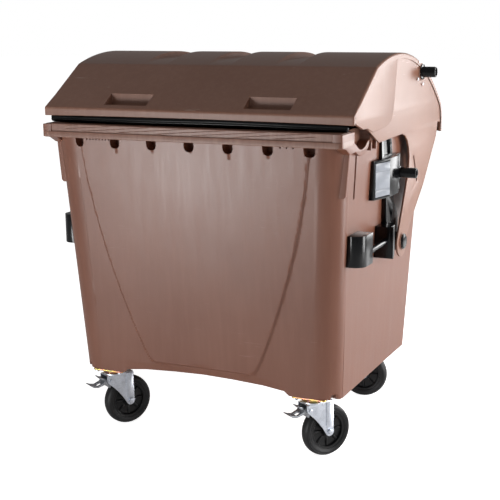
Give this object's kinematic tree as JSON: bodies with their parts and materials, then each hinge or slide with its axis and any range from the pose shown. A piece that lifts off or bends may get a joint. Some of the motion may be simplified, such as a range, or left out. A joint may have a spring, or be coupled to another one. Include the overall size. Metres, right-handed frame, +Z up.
{
  "type": "wheeled waste container",
  "caption": "Large four-wheeled waste container with a moulded tub, comb rim, roll-back dome lid on side pivots, trunnion pins, side grips and braked swivel castors.",
  "frame": {"origin": "on the ground, below the middle of the container's bounding box", "axes": "+X along the length, towards the right-hand trunnion pin; +Y from the front, where the comb pockets and brakes are, to the back; +Z up"},
  "size_m": [1.37, 1.159, 1.487],
  "materials": {
    "container_plastic": "satin moulded HDPE, brown",
    "black_plastic": "glossy black moulding",
    "seal_rubber": "glossy black extrusion",
    "light_panel": "satin light grey panel",
    "zinc_steel": "bright zinc plate",
    "yellow_zinc": "yellow passivated zinc plate",
    "bush_plastic": "plain white bearing plastic",
    "hub_plastic": "satin black",
    "tyre_rubber": "solid black rubber"
  },
  "bodies": {
    "container": {"tub": "container_plastic", "drain_plug": "black_plastic", "drain_seal": "seal_rubber", "trunnion_bracket_left": "black_plastic", "trunnion_bracket_right": "black_plastic", "trunnion_pin_left": "black_plastic", "trunnion_pin_right": "black_plastic", "reflector_left": "light_panel", "reflector_right": "light_panel", "side_handle_left": "black_plastic", "side_handle_right": "black_plastic", "bracket_bolts": "zinc_steel", "pivot_axle_left": "zinc_steel", "pivot_axle_right": "zinc_steel", "castor_plate_front_left": "yellow_zinc", "castor_plate_front_right": "yellow_zinc", "castor_plate_rear_left": "yellow_zinc", "castor_plate_rear_right": "yellow_zinc", "castor_bolts": "zinc_steel", "kingpins": "zinc_steel"},
    "lid": {"lid": "container_plastic", "lid_seal": "seal_rubber", "opener_pin_left": "black_plastic", "opener_pin_right": "black_plastic", "opener_rivets": "zinc_steel", "pivot_bush_left": "bush_plastic", "pivot_bush_right": "bush_plastic", "pivot_cap_left": "black_plastic", "pivot_cap_right": "black_plastic"},
    "castor_front_left": {"fork_front_left": "zinc_steel", "axle_front_left": "zinc_steel", "brake_rod_left": "zinc_steel"},
    "wheel_front_left": {"tyre_front_left": "tyre_rubber", "hub_front_left": "hub_plastic", "bearing_front_left": "zinc_steel"},
    "brake_left": {"brake_pedal_left": "zinc_steel"},
    "castor_front_right": {"fork_front_right": "zinc_steel", "axle_front_right": "zinc_steel", "brake_rod_right": "zinc_steel"},
    "wheel_front_right": {"tyre_front_right": "tyre_rubber", "hub_front_right": "hub_plastic", "bearing_front_right": "zinc_steel"},
    "brake_right": {"brake_pedal_right": "zinc_steel"},
    "castor_rear_left": {"fork_rear_left": "zinc_steel", "axle_rear_left": "zinc_steel"},
    "wheel_rear_left": {"tyre_rear_left": "tyre_rubber", "hub_rear_left": "hub_plastic", "bearing_rear_left": "zinc_steel"},
    "castor_rear_right": {"fork_rear_right": "zinc_steel", "axle_rear_right": "zinc_steel"},
    "wheel_rear_right": {"tyre_rear_right": "tyre_rubber", "hub_rear_right": "hub_plastic", "bearing_rear_right": "zinc_steel"}
  },
  "joints": [
    {"name": "lid_hinge", "type": "hinge", "parent": "container", "child": "lid", "pos_m": [0, 0.0485, 0.756], "axis": [-1, 0, 0], "range_deg": [0, 90]},
    {"name": "swivel_front_left", "type": "hinge", "parent": "container", "child": "castor_front_left", "pos_m": [-0.432, -0.4115, 0.222], "axis": [0, 0, 1], "continuous": true},
    {"name": "roll_front_left", "type": "hinge", "parent": "castor_front_left", "child": "wheel_front_left", "pos_m": [-0.40264, -0.36264, 0.1], "axis": [0.8572, -0.515, 0], "continuous": true},
    {"name": "brake_press_left", "type": "hinge", "parent": "castor_front_left", "child": "brake_left", "pos_m": [-0.44642, -0.4355, 0.197], "axis": [0.8572, -0.515, 0], "range_deg": [0, 12]},
    {"name": "swivel_front_right", "type": "hinge", "parent": "container", "child": "castor_front_right", "pos_m": [0.432, -0.4115, 0.222], "axis": [0, 0, 1], "continuous": true},
    {"name": "roll_front_right", "type": "hinge", "parent": "castor_front_right", "child": "wheel_front_right", "pos_m": [0.46469, -0.36481, 0.1], "axis": [0.8192, -0.5736, 0], "continuous": true},
    {"name": "brake_press_right", "type": "hinge", "parent": "castor_front_right", "child": "brake_right", "pos_m": [0.41594, -0.43444, 0.197], "axis": [0.8192, -0.5736, 0], "range_deg": [0, 12]},
    {"name": "swivel_rear_left", "type": "hinge", "parent": "container", "child": "castor_rear_left", "pos_m": [-0.432, 0.3385, 0.222], "axis": [0, 0, 1], "continuous": true},
    {"name": "roll_rear_left", "type": "hinge", "parent": "castor_rear_left", "child": "wheel_rear_left", "pos_m": [-0.48845, 0.34643, 0.1], "axis": [0.1392, 0.9903, 0], "continuous": true},
    {"name": "swivel_rear_right", "type": "hinge", "parent": "container", "child": "castor_rear_right", "pos_m": [0.432, 0.3385, 0.222], "axis": [0, 0, 1], "continuous": true},
    {"name": "roll_rear_right", "type": "hinge", "parent": "castor_rear_right", "child": "wheel_rear_right", "pos_m": [0.37587, 0.3286, 0.1], "axis": [-0.1736, 0.9848, 0], "continuous": true}
  ]
}
